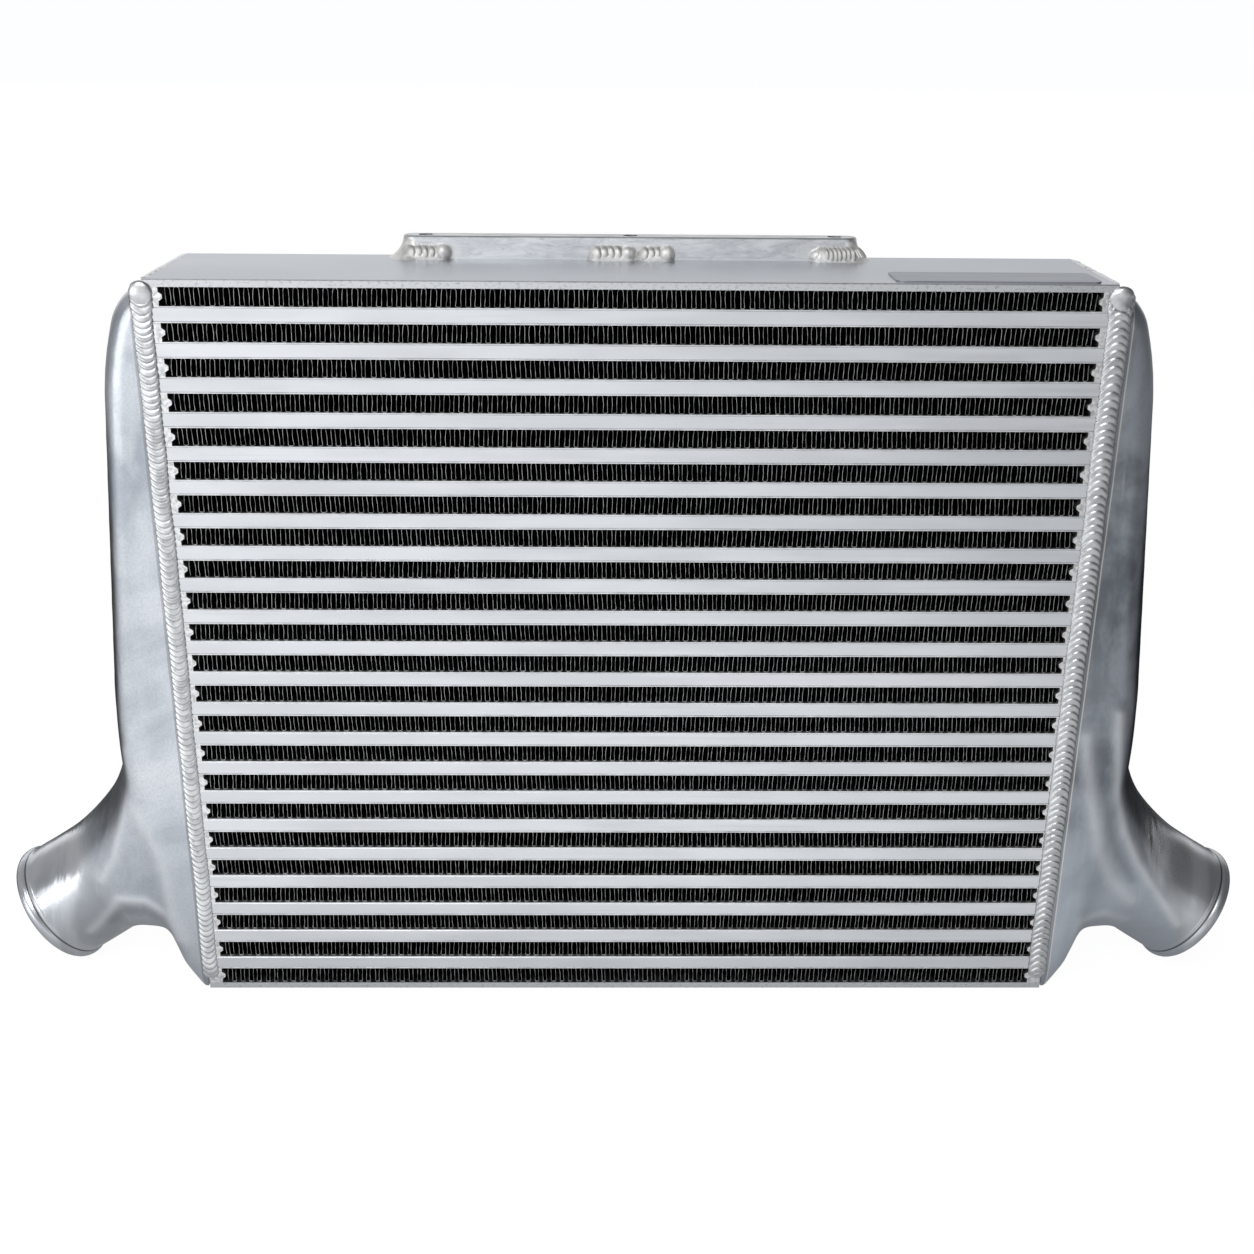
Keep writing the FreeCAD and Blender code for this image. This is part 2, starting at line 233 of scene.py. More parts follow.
def bar_material():
    shader = Shader("satin_bars", Metallic=1.0, Roughness=0.42)
    clouds = shader.noise(26, detail=4, stretch=(0.5, 1, 2.2))
    streaks = shader.noise(90, detail=5, stretch=(0.12, 1, 6))
    base = shader.mix(shader.ramp(clouds, 0.3, 0.7), grey(0.77, 0.06), grey(0.87, 0.06))
    shader.colour(shader.mix(shader.ramp(streaks, 0.62, 0.8, 0, 0.5), base, grey(0.70, 0.05)))
    shader.roughness(shader.ramp(streaks, 0.3, 0.7, 0.34, 0.48))
    shader.bump(streaks, 0.12, 0.0004)
    return shader.material


def closing_bar_material():
    """Bright and pitted where the braze ran over the ends of the bars."""
    shader = Shader("closing_bars", Metallic=1.0, Roughness=0.4)
    lumps = shader.noise(420)
    shader.colour(shader.mix(shader.ramp(lumps, 0.36, 0.6), grey(0.62, 0.02), grey(0.95, 0.01)))
    shader.bump(lumps, 0.5, 0.0006)
    return shader.material


def shade_inside_core(shader, bright):
    """Bright at the front and rear of the core, with painted near-black shade deeper inside it,
    between the fins.
    """
    edge = shader.ramp(shader.depth(), fin_front - 0.7 * MM, fin_front - 0.15 * MM)
    fill(shader.bsdf, Specular_IOR_Level=0.0)
    shader.link(edge, shader.bsdf.inputs["Metallic"])
    shader.colour(shader.mix(edge, grey(0.004), bright))


def sheet_material():
    shader = Shader("sheet_edges", Roughness=0.34)
    ragged = shader.noise(260, stretch=(0.4, 1, 1))
    bright = shader.mix(shader.ramp(ragged, 0.35, 0.65), grey(0.78, 0.03), grey(0.98, 0.01))
    shade_inside_core(shader, bright)
    shader.bump(ragged, 0.3, 0.0004)
    return shader.material


def plate_material():
    """Dull on top, with a bright ragged run of braze along its front and rear edge."""
    shader = Shader("core_plates", Metallic=1.0, Roughness=0.4)
    clouds = shader.noise(12, detail=5, stretch=(0.7, 1.4, 1))
    scuffs = shader.noise(160, detail=4, stretch=(0.2, 1.5, 1))
    base = shader.mix(shader.ramp(clouds, 0.3, 0.75), grey(0.52, 0.12), grey(0.62, 0.11))
    base = shader.mix(shader.ramp(scuffs, 0.66, 0.8, 0, 0.4), base, grey(0.76, 0.03))
    ragged = shader.noise(800, stretch=(0.5, 1, 1))
    edge_place = shader.plus(shader.depth(), shader.times(ragged, 1.2 * MM))
    edge = shader.ramp(edge_place, half_depth + 0.1 * MM, half_depth + 0.5 * MM)
    pitted = shader.mix(shader.ramp(ragged, 0.3, 0.5), grey(0.56, 0.05), grey(0.74, 0.05))
    shader.colour(shader.mix(edge, base, pitted))
    shader.roughness(shader.ramp(clouds, 0.3, 0.7, 0.32, 0.44))
    shader.bump(scuffs, 0.08, 0.0004)
    return shader.material


def fin_material():
    shader = Shader("fins", Roughness=0.5)
    uneven = shader.noise(240, detail=2)
    bright = shader.mix(shader.ramp(uneven, 0.35, 0.65), grey(0.24, 0.02), grey(0.64, 0.02))
    shade_inside_core(shader, bright)
    return shader.material


# Where the polish of the left spout starts and is full, behind the mouth, and its waver.
polish_start = 52 * MM
polish_full = 34 * MM
polish_waver = 24 * MM

# On the right it starts along a direction of the front view, within a reach of the mouth.
aslant = (1.639, 0, 0.688)
aslant_start = 611 * MM
aslant_full = 619 * MM
aslant_waver = 34 * MM
aslant_reach = 88 * MM
aslant_reach_full = 70 * MM

# Half width of a seam weld whose share is 1, and where the painted shade lies at the root of a
# rolled edge.
bead_half = 6.0 * MM
root_shade_start = 7.4 * MM
root_shade_end = 5.7 * MM


def polish(shader, side, along, waves):
    """How far a spout is polished, from 0 to 1, and its colour where it is."""
    patchy = shader.ramp(waves, 0.36, 0.62)
    if side < 0:
        place = shader.plus(along, shader.times(waves, polish_waver))
        polished = shader.ramp(place, mouth_along - polish_start, mouth_along - polish_full)
        return polished, shader.mix(patchy, grey(0.62, 0.06), grey(0.95, 0.05))
    place = shader.plus(shader.along(aslant), shader.times(waves, aslant_waver))
    near = shader.ramp(along, mouth_along - aslant_reach, mouth_along - aslant_reach_full)
    polished = shader.times(shader.ramp(place, aslant_start, aslant_full), near)
    return polished, shader.mix(patchy, grey(0.38, -0.08), grey(0.84, 0.03))


def blemished(shader, base, scratches):
    """Pits, stains and scratches over the colour of a casting."""
    sparse = shader.ramp(shader.noise(14, detail=1), 0.55, 0.62)
    base = shader.mix(shader.times(shader.spots(55, 0.045), sparse), base, grey(0.16))
    few = shader.ramp(shader.noise(22, detail=1), 0.6, 0.64, 0, 0.3)
    base = shader.mix(shader.times(shader.spots(38, 0.16, 0.8), few), base, grey(0.3, -0.05))
    return shader.mix(shader.ramp(scratches, 0.66, 0.8, 0, 0.3), base, grey(0.85, 0.03))


def seam_lines(shader, side, base, mottling):
    """A dark line beside the seam weld, and on the right the flange's pale edge."""
    inset, lean, foot_share, gain = weld_line[side]
    x_away = shader.math("ABSOLUTE", shader.axis("X"))
    from_seam = shader.minus(x_away, shader.times(shader.axis("Z"), lean + gain * bead_half))
    place = shader.plus(from_seam, shader.times(mottling, 0.6 * MM))
    flange = half_width - inset + foot_share * bead_half + 1.0 * MM
    dark = shader.ramp(place, flange - 0.3 * MM, flange, 1, 0)
    base = shader.mix(shader.times(dark, 0.45), base, grey(0.2, 0.05))
    if side > 0:
        rise = shader.ramp(place, flange - 0.2 * MM, flange + 0.05 * MM)
        fall = shader.ramp(place, flange + 0.5 * MM, flange + 0.8 * MM, 0.6, 0)
        base = shader.mix(shader.times(rise, fall), base, (0.95, 0.9, 0.84, 1.0))
    return base


def casting_material(name, side, low, high, foot_reflection):
    """Cast body with stains, painted highlights and painted shade, and a mirror finish where the
    spout leaves it.
    """
    shader = Shader(name, Metallic=1.0, Roughness=0.35)
    patches = shader.noise(9, detail=5, roughness=0.6, distortion=0.6)
    mottling = shader.noise(42, detail=4, roughness=0.6, stretch=(1, 1, 0.55))
    waves = shader.noise(16, stretch=(1.6, 1, 0.35), distortion=0.9)
    grain = shader.noise(420, detail=4)
    grit = shader.noise(700, detail=2)
    scratches = shader.noise(120, detail=5, stretch=(1.6, 1, 0.16))
    base = shader.mix(shader.ramp(patches, 0.35, 0.68), low, high)
    base = shader.mix(shader.ramp(mottling, 0.40, 0.64, 0, 0.55), base, high)
    base = shader.mix(shader.ramp(grit, 0.35, 0.6, 0.14, 0), base, grey(0.25, 0.2))
    along = shader.along((side * spout_outward, 0, -spout_downward))
    polished, shine = polish(shader, side, along, waves)
    base = shader.mix(polished, base, shine)
    # Painted reflection over the foot of each body: darker and bluer on the left, lighter on the
    # right.
    foot = shader.ramp(shader.axis("Z"), 50 * MM, 150 * MM, 0.45, 0)
    base = shader.mix(foot, base, foot_reflection)
    # Painted shade on the sides that turn away from the front and in the dark bands of the casting
    # lines.
    painted_side_shade = shader.times(shader.painted("shade"), shader.ramp(patches, 0.3, 0.6, 0.75, 1.0))
    base = shader.mix(painted_side_shade, base, grey(0.09, 0.25))
    # Painted highlight along the ridges of the casting lines.
    base = shader.mix(shader.painted("painted_highlight"), base, grey(0.93, 0.06))
    base = blemished(shader, base, scratches)
    base = seam_lines(shader, side, base, mottling)
    # Painted shade in the crease at the root of the rolled edge.
    start = mouth_along - root_shade_start
    end = mouth_along - root_shade_end
    dip = shader.ramp(along, start, start + 0.8 * MM)
    root_shade = shader.times(dip, shader.ramp(along, end - 0.7 * MM, end, 1, 0))
    shader.colour(shader.mix(root_shade, base, grey(0.1)))
    rough = shader.ramp(patches, 0.3, 0.7, 0.28, 0.4)
    shader.roughness(shader.minus(rough, shader.times(polished, 0.10)))
    shader.bump(grain, 0.10, 0.0003)
    shader.bump(scratches, 0.02, 0.0003)
    shader.bump(waves, 0.3, 0.004)
    shader.bump(mottling, 0.22, 0.0012)
    return shader.material


def weld_material():
    """Frosted beads with painted shade in the valleys, along the roots, round the end balls and over
    one flank of the right beads.
    """
    shader = Shader("weld_beads", Metallic=1.0, Roughness=0.3)
    frost = shader.noise(180, detail=4)
    base = shader.mix(shader.ramp(frost, 0.35, 0.7), grey(0.60, 0.05), grey(0.80, 0.03))
    dark = shader.ramp(shader.painted("shade"), 0.0, 1.0, 0, 0.8)
    shader.colour(shader.mix(dark, base, grey(0.14)))
    shader.roughness(shader.ramp(frost, 0.3, 0.7, 0.24, 0.4))
    shader.bump(frost, 0.06, 0.0003)
    return shader.material


def frosty_weld_material():
    """Fine grained, pale and slightly warm."""
    shader = Shader("frosty_beads", Metallic=0.75, Roughness=0.5)
    frost = shader.noise(260, detail=4)
    rings = shader.noise(520, detail=2)
    base = shader.mix(shader.ramp(frost, 0.35, 0.7), grey(0.78, -0.03), grey(0.98, -0.02))
    # Painted shade round the rims of the ripples, where one lies over the next.
    shader.colour(shader.mix(shader.painted("shade"), base, grey(0.3, -0.05)))
    shader.roughness(shader.ramp(frost, 0.3, 0.7, 0.42, 0.58))
    shader.bump(rings, 0.15, 0.0002)
    return shader.material


# Brushed patches round the rail's welds: middle and half width in millimetres, and how far they
# lie below its top and reach up and down.
rail_halos = ((-109, 10.5), (-13, 9.5), (8, 19), (105, 9.5))
halo_drop = 12.6 * MM
halo_height = 9.6 * MM


def halo_mask(shader, swirls):
    """1 in the brushed patches round the welds, and 0 between them."""
    x = shader.axis("X")
    below = shader.minus(shader.axis("Z"), rail_top - halo_drop)
    above = shader.math("POWER", shader.math("ABSOLUTE", shader.times(below, 1 / halo_height)), 3.0)
    mask = None
    for middle, reach in rail_halos:
        across = shader.times(shader.minus(x, middle * MM), 1 / (reach * MM))
        across = shader.math("POWER", shader.math("ABSOLUTE", across), 3.0)
        total = shader.plus(shader.plus(across, above), shader.times(swirls, 0.5))
        near = shader.ramp(total, 1.0, 1.3, 1, 0)
        mask = near if mask is None else shader.math("MAXIMUM", mask, near)
    return mask


def rail_material():
    """Milled bar with frosty rims round its welds."""
    shader = Shader("rail_machined", Metallic=1.0, Roughness=0.33)
    swirls = shader.noise(75, detail=6, roughness=0.65, stretch=(0.5, 1, 2.0), distortion=1.6)
    base = shader.mix(shader.ramp(swirls, 0.35, 0.7), grey(0.74, 0.06), grey(0.99, 0.04))
    scratches = shader.noise(210, detail=5, roughness=0.7, stretch=(0.35, 1, 1.6), distortion=0.8)
    base = shader.mix(shader.ramp(scratches, 0.55, 0.68, 0, 0.5), base, grey(0.5, 0.1))
    foot_line = shader.ramp(shader.axis("Z"), core_top + 0.4 * MM, core_top + 1.3 * MM, 0.7, 0)
    base = shader.mix(foot_line, base, grey(0.97, 0.02))
    top_face = shader.ramp(shader.axis("Z"), rail_top - 0.9 * MM, rail_top - 0.3 * MM)
    base = shader.mix(top_face, base, grey(0.58, 0.04))
    halo = shader.times(halo_mask(shader, swirls), 0.55)
    shader.colour(shader.mix(halo, base, grey(0.95)))
    shader.roughness(shader.ramp(swirls, 0.3, 0.7, 0.25, 0.45))
    shader.bump(swirls, 0.12, 0.0004)
    return shader.material


def name_plate_material():
    shader = Shader("bare_name_plate", Metallic=0.9, Roughness=0.42)
    brushed = shader.noise(200, stretch=(0.1, 2, 1))
    shader.colour(shader.mix(shader.ramp(brushed, 0.3, 0.7), grey(0.34, 0.14), grey(0.42, 0.14)))
    shader.bump(brushed, 0.08, 0.0003)
    return shader.material


def hidden_material():
    shader = Shader("inner_strips", Metallic=1.0, Roughness=0.5)
    dull = shader.noise(60, detail=2)
    shader.colour(shader.mix(dull, grey(0.3), grey(0.45)))
    return shader.material


materials = {
    "bars": bar_material(),
    "sheets": sheet_material(),
    "plates": plate_material(),
    "fins": fin_material(),
    "closing_bars": closing_bar_material(),
    # Both castings are one metal: the lighter tones of the left one and the darker tones of the
    # right one are painted light and shade.
    "left_casting": casting_material(
        "left_casting", -1, grey(0.46, 0.20), grey(0.84, 0.09), grey(0.27, 0.3)
    ),
    "right_casting": casting_material(
        "right_casting", 1, grey(0.20, 0.24), grey(0.50, 0.17), grey(0.66, 0.2)
    ),
    "welds": weld_material(),
    "frosty_welds": frosty_weld_material(),
    "rail": rail_material(),
    "label_plate": name_plate_material(),
    "turbulators": hidden_material(),
}


def dress(node, finish):
    """Gives a carried-over node its finish."""
    mesh = nodes[node].data
    mesh.materials.clear()
    mesh.materials.append(materials[finish])


# Mesh helpers


def mesh_piece(name, points, faces, finish, smooth=True, replaced=(), layers=None):
    """A piece of the object from points and faces, which moves with the object."""
    mesh = bpy.data.meshes.new(name)
    mesh.from_pydata([tuple(p) for p in points], [], [tuple(f) for f in faces])
    mesh.polygons.foreach_set("use_smooth", [smooth] * len(mesh.polygons))
    mesh.materials.append(materials[finish])
    for key, values in (layers or {}).items():
        layer = mesh.attributes.new(key, "FLOAT", "POINT")
        layer.data.foreach_set("value", values)
    piece = placed(name, mesh)
    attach(piece, "root")
    if replaced:
        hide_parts(*replaced)


def strip_faces(rows, columns, flip):
    """Square faces between rows of points, with a flat back."""
    faces = []
    for i in range(rows - 1):
        for j in range(columns - 1):
            a = i * columns + j
            faces.append((a, a + 1, a + columns + 1, a + columns))
    for a in range(0, (rows - 1) * columns, columns):
        b = a + columns - 1
        faces.append((a, a + columns, b + columns, b))
    return [f[::-1] for f in faces] if flip else faces


def joined(parts):
    """Points, faces and shade of several parts as one mesh."""
    points, faces, shade = [], [], []
    for more_points, more_faces, more_shade in parts:
        start = len(points)
        points.extend(more_points)
        faces.extend(tuple(i + start for i in f) for f in more_faces)
        shade.extend(more_shade)
    return points, faces, shade


# Cooling fins at their true spacing

passages = 22
fin_rows = 23
fin_spacing = 2.65 * MM
fin_sheet = 0.20 * MM
crown_height = 1.3 * MM
trough_height = 0.7 * MM
crest_steps = 4

# How unevenly the walls of a fin stand, in millimetres.
wall_shift = 0.32
wall_sway = 0.28
wall_lean = 0.12
wall_bulge = (0.05, 0.35)


def fin_path(x0, x1, z0, z1, chance):
    """Middle line of one folded strip, with walls that lean and bulge a little."""
    walls = round((x1 - x0) / fin_spacing)
    step = (x1 - x0) / walls
    low = z0 + fin_sheet / 2
    high = z1 - fin_sheet / 2
    lean_wave = chance.uniform(0, 6)
    places = []
    for i in range(walls):
        places.append(x0 + step * (i + 0.5) + chance.uniform(-wall_shift, wall_shift) * MM)
    path = []
    for i, x in enumerate(places):
        up = i % 2 == 0
        sway = wall_sway * math.sin(lean_wave + i * 0.045)
        lean = (sway + chance.uniform(-wall_lean, wall_lean)) * MM
        bulge = chance.uniform(*wall_bulge) * MM * (-1 if up else 1)
        start, end = (low + trough_height, high - crown_height)
        if not up:
            start, end = end, start
        for t in (0.0, 0.5, 1.0):
            z = start + (end - start) * t
            height_share = (z - low) / (high - low) - 0.5
            path.append((x + lean * 2 * height_share + bulge * math.sin(math.pi * t), z))
        if i + 1 < walls:
            x_from = path[-1][0]
            x_to = places[i + 1]
            top = high if up else low
            base = path[-1][1]
            for k in range(1, crest_steps):
                turn = math.pi * k / crest_steps
                x_k = (x_from + x_to) / 2 - (x_to - x_from) / 2 * math.cos(turn)
                path.append((x_k, base + (top - base) * math.sin(turn)))
    return path


def fin_row(index):
    """One folded strip of the core's air side."""
    node = "cooling_fin_%02d" % index
    low, high = span(node)
    chance = random.Random(index)
    path = np.array(fin_path(low[0], high[0], low[2], high[2], chance))
    along = np.gradient(path, axis=0)
    along /= np.linalg.norm(along, axis=1)[:, None]
    normal = np.stack([-along[:, 1], along[:, 0]], axis=1)
    sides = [path + normal * fin_sheet / 2, path - normal * fin_sheet / 2]
    points = []
    for y in (low[1], high[1]):
        for side in sides:
            clipped = np.clip(side, (low[0], low[2]), (high[0], high[2]))
            points.extend((x, y, z) for x, z in clipped)
    n = len(path)
    front_a, front_b, rear_a, rear_b = 0, n, 2 * n, 3 * n
    faces = []
    for i in range(n - 1):
        faces.append((front_a + i, front_b + i, front_b + i + 1, front_a + i + 1))
        faces.append((rear_a + i, rear_a + i + 1, rear_b + i + 1, rear_b + i))
        faces.append((front_a + i, front_a + i + 1, rear_a + i + 1, rear_a + i))
        faces.append((front_b + i, rear_b + i, rear_b + i + 1, front_b + i + 1))
    faces.append((front_a, rear_a, rear_b, front_b))
    last = n - 1
    faces.append((front_a + last, front_b + last, rear_b + last, rear_a + last))
    name = "folded_fin_%02d" % index
    mesh_piece(name, points, faces, "fins", smooth=False, replaced=(node,))


# Tanks, with the soft blends that the sand mould leaves between body and spout

voxel_size = 1.8 * MM
blend_rounds = 110
even_rounds = 24
blend_rate = 0.5
thinning_share = 0.12
ring_back = 6.05 * MM
ring_segments = 128


def remeshed(node):
    """Points and square faces of an even skin over a node."""
    copy = placed(node + "_even", nodes[node].data.copy())
    even = copy.modifiers.new("even", "REMESH")
    even.mode = "VOXEL"
    even.voxel_size = voxel_size
    bpy.context.view_layer.update()
    evaluated = copy.evaluated_get(bpy.context.evaluated_depsgraph_get())
    mesh = bpy.data.meshes.new_from_object(evaluated)
    points = np.empty(len(mesh.vertices) * 3)
    mesh.vertices.foreach_get("co", points)
    corners = np.empty(len(mesh.loops), dtype=int)
    mesh.loops.foreach_get("vertex_index", corners)
    bpy.data.meshes.remove(mesh)
    bpy.data.objects.remove(copy)
    return points.reshape(-1, 3), corners.reshape(-1, 4)


def neighbour_mean(values, starts, ends, count):
    """Mean of the values at the neighbours of each point."""
    total = np.bincount(starts, values[ends], minlength=count)
    total += np.bincount(ends, values[starts], minlength=count)
    degree = np.bincount(starts, minlength=count) + np.bincount(ends, minlength=count)
    return total / np.maximum(degree, 1)


def point_normals(points, faces):
    """Outward direction at each point of a skin of square faces."""
    quads = points[faces]
    normal_of_face = np.cross(quads[:, 2] - quads[:, 0], quads[:, 3] - quads[:, 1])
    normal = np.empty_like(points)
    for k in range(3):
        spread_out = np.repeat(normal_of_face[:, k], 4)
        normal[:, k] = np.bincount(faces.ravel(), spread_out, minlength=len(points))
    return normal / np.maximum(np.linalg.norm(normal, axis=1), 1e-12)[:, None]


def softened(points, faces, weight):
    """Fills sharp hollows where weight is above 0 and leaves the rest nearly as it is."""
    count = len(points)
    starts = faces.ravel()
    ends = np.roll(faces, -1, axis=1).ravel()
    for i in range(blend_rounds):
        mean = [neighbour_mean(points[:, k], starts, ends, count) for k in range(3)]
        step = np.stack(mean, axis=1) - points
        outward = (step * point_normals(points, faces)).sum(axis=1)
        share = np.where((outward > 0) | (i < even_rounds), 1.0, thinning_share) * weight
        points = points + step * (blend_rate * share)[:, None]
    return points


def spread(values, faces, rounds):
    """Values of the points, run into each other along the skin."""
    starts = faces.ravel()
    ends = np.roll(faces, -1, axis=1).ravel()
    for _ in range(rounds):
        values = 0.5 * values + 0.5 * neighbour_mean(values, starts, ends, len(values))
    return values


def distance_to_line(x, z, line):
    """Distance in the front view from points to a line of corners."""
    best = np.full(len(x), 1e9)
    for (x0, z0), (x1, z1) in zip(line, line[1:]):
        run = np.array((x1 - x0, z1 - z0)) * MM
        right, up = x - x0 * MM, z - z0 * MM
        t = np.clip((right * run[0] + up * run[1]) / (run @ run), 0, 1)
        gap = np.hypot(right - t * run[0], up - t * run[1])
        best = np.minimum(best, gap)
    return best


def ease(value, low, high):
    """0 at low, 1 at high and smooth between them, for arrays."""
    t = np.clip((value - low) / (high - low), 0, 1)
    return t * t * (3 - 2 * t)


# Ridges of the castings, raised and with a painted highlight, and bands of painted shade, as they
# lie in the front view, in millimetres: corners, half width, strength of the painted highlight
# (above 0) or of the painted shade (below 0), and height.
casting_lines = {
    -1: (
        (((-304, 163), (-304.5, 136), (-311.5, 109), (-317.5, 87), (-327, 71)), 3.5, 0.45, 0.7),
        (((-302, 128), (-294, 110), (-286, 93), (-283.5, 56), (-277, 34)), 5.0, 0.3, 0.4),
        (((-339, 32), (-332, 39), (-318, 58), (-300, 59), (-286, 51), (-281, 34)), 3.2, 0.5, 0.8),
        (((-326, 40), (-316, 50), (-300, 51), (-290, 43)), 5.0, -0.35, 0.0),
        (((-309, 330), (-309, 300), (-307, 262)), 5.5, -0.35, 0.0),
        (((-306, 255), (-305, 232), (-306, 205)), 4.5, -0.4, 0.0),
        (((-312, 150), (-319, 120), (-331, 98)), 5.0, -0.3, 0.0),
    ),
    1: (
        (((293, 190), (298.6, 137.5), (307, 110), (319, 86), (334, 64), (350, 39)), 3.6, 0.55, 0.8),
        (((274, 175), (282, 132), (292, 97), (302, 76), (318, 58)), 4.5, 0.4, 0.4),
        (((282, 27), (286, 47), (302, 49), (317, 41.5)), 3.6, 0.35, 0.7),
        (((303, 165), (309, 135), (318, 112), (330, 95)), 4.5, -0.45, 0.0),
        (((286, 150), (293, 120), (303, 95), (316, 74)), 3.2, -0.3, 0.0),
        (((300, 420), (303, 330), (302, 230)), 6.5, -0.25, 0.0),
    ),
}

# Outline of the rolled edge: distance behind the mouth and radius.
ring_outline = (
    (-10.2, 37.4), (-9.6, 38.02), (-8.6, 38.24), (-6.3, 38.26),
    (-5.5, 38.9), (-4.4, 39.5), (-3.1, 39.72), (-1.8, 39.62),
    (-0.7, 39.3), (-0.1, 38.9), (0.0, 38.2), (0.0, 35.6),
    (-0.4, 35.15), (-1.6, 35.0), (-9.0, 34.95), (-10.2, 35.4),
)


def spout_line(side):
    """Middle of a spout's mouth, and the direction in which it opens."""
    mouth = np.array((side * mouth_reach, 0, mouth_height))
    return mouth, np.array((side * spout_outward, 0, -spout_downward))


def ring(side):
    """Rolled edge round the mouth of one spout."""
    mouth, outward = spout_line(side)
    across = np.array((0, 1, 0))
    upright = np.cross(outward, across)
    points = []
    count = len(ring_outline)
    for i in range(ring_segments):
        turn = 2 * math.pi * i / ring_segments
        radial = across * math.cos(turn) + upright * math.sin(turn)
        for back, radius in ring_outline:
            points.append(mouth + outward * back * MM + radial * radius * MM)
    faces = []
    for i in range(ring_segments):
        a = i * count
        b = (i + 1) % ring_segments * count
        for j in range(count):
            k = (j + 1) % count
            faces.append((a + j, b + j, b + k, a + k))
    return np.array(points), faces


# Limits of the blends of a tank, each from start to end: over its foot, below its upper body,
# outside the seam and behind the rolled edge.
foot_limit = (14 * MM, 26 * MM)
body_limit = (175 * MM, 205 * MM)
seam_limit = (9 * MM, 16 * MM)
ring_limit = (-24 * MM, -14 * MM)

# Limits of the shade on its sides, and of what is darker: the waist of the left body and the
# upper part of the right one.
shade_seam_limit = (12 * MM, 24 * MM)
shade_spout_limit = (-75 * MM, -45 * MM)
shade_rounds = 60
waist_start = (140 * MM, 190 * MM)
waist_end = (290 * MM, 350 * MM)
upper_start = (300 * MM, 380 * MM)


def blend_weight(points, behind):
    """1 where the corners of a tank are blended, and 0 where it stays as it is."""
    height = points[:, 2]
    away = np.abs(points[:, 0]) - half_width
    weight = ease(height, *foot_limit) * (1 - ease(height, *body_limit))
    return weight * ease(away, *seam_limit) * (1 - ease(behind, *ring_limit))


def side_shade(side, points, faces, normal, behind):
    """Shade of the sides of a body, which fades towards its spout."""
    height = points[:, 2]
    away = np.abs(points[:, 0]) - half_width
    turned = np.clip(1 - np.abs(normal[:, 1]), 0, 1)
    shade = spread(turned, faces, shade_rounds)
    shade *= ease(away, *shade_seam_limit) * (1 - ease(behind, *shade_spout_limit))
    if side < 0:
        waist = ease(height, *waist_start) * (1 - ease(height, *waist_end))
        shade *= 0.85 + 0.75 * waist
    else:
        shade *= 0.42 + 0.45 * ease(height, *upper_start)
    return np.minimum(shade, 1)


def draw_lines(side, points, normal, shade):
    """Raises the ridges of casting_lines, and gives the painted highlight and painted shade of the
    points.
    """
    painted_highlight = np.zeros(len(points))
    front = points[:, 1] < 0
    for line, half, strength, height in casting_lines[side]:
        near = np.exp(-((distance_to_line(points[:, 0], points[:, 2], line) / (half * MM)) ** 2))
        near *= front * np.clip(-normal[:, 1], 0, 1)
        points[:, 1] -= near * height * MM
        if strength > 0:
            painted_highlight = np.maximum(painted_highlight, near * strength)
        else:
            shade = np.maximum(shade, -near * strength)
    return painted_highlight, shade


def tank(side):
    """One tank with soft blends, raised ridges with painted highlights, painted shade and the rolled
    edge of its spout.
    """
    name = "left" if side < 0 else "right"
    node = name + "_tank"
    points, faces = remeshed(node)
    mouth, outward = spout_line(side)
    behind = (points - mouth) @ outward
    points = softened(points, faces, blend_weight(points, behind))
    normal = point_normals(points, faces)
    shade = side_shade(side, points, faces, normal, behind)
    painted_highlight, shade = draw_lines(side, points, normal, shade)
    faces = faces[(behind[faces] < -ring_back).all(axis=1)]
    used = np.unique(faces)
    renumber = np.full(len(points), -1)
    renumber[used] = np.arange(len(used))
    ring_points, ring_faces = ring(side)
    all_points = np.vstack((points[used], ring_points))
    all_faces = renumber[faces].tolist() + [[i + len(used) for i in f] for f in ring_faces]
    plain = np.zeros(len(ring_points))
    layers = {
        "shade": np.concatenate((shade[used], plain)),
        "painted_highlight": np.concatenate((painted_highlight[used], plain)),
    }
    piece = name + "_cast_tank"
    finish = name + "_casting"
    mesh_piece(piece, all_points, all_faces, finish, replaced=(node,), layers=layers)


# Weld beads

ripple_rise = 0.26
ball_radius = 6.7 * MM
ball_drop = 6.7 * MM

# Lengths over which a seam bead wanders, in the order of the draws: its width, middle, pitch
# and crown, and the hang, slant and height of its ripples.
wander_steps = (13 * MM, 24 * MM, 9 * MM, 11 * MM, 17 * MM, 30 * MM, 7 * MM)

# For each side: pitch and height of a ripple, how far its middle hangs (or arches, below 0), its
# slant across the bead, how much painted shade its valleys get, and whether its step faces upward.
ripple_style = {
    -1: (3.75 * MM, 0.90 * MM, 3.2 * MM, 0.2 * MM, 0.9, False),
    1: (4.3 * MM, 0.80 * MM, -4.8 * MM, -1.0 * MM, 0.40, True),
}


def smooth_noise(chance, length, step):
    """A wandering value along a length, as a function."""
    count = int(length / step) + 3
    values = [chance.uniform(-1, 1) for _ in range(count)]

    def at(distance):
        place = distance / step
        i = min(int(place), count - 2)
        t = place - i
        t = t * t * (3 - 2 * t)
        return values[i] * (1 - t) + values[i + 1] * t

    return at


def ripple_shape(phase, upward):
    """Height share and valley share of a stacked ripple at a place between two valleys."""
    part = phase - math.floor(phase)
    if upward:
        part = 1 - part
    if part < ripple_rise:
        t = part / ripple_rise
        height = t * t * (3 - 2 * t)
    else:
        t = (part - ripple_rise) / (1 - ripple_rise)
        height = 1 - t**1.5
    valley = max(0.0, 1 - part / 0.12) + max(0.0, (part - 0.93) / 0.07)
    return height, min(valley, 1.0)


def end_rounding(distance, half):
    """0 at the end of a bead, and 1 from its half width onward."""
    return math.sqrt(max(0.0, 1 - (1 - min(1.0, distance / half)) ** 2))


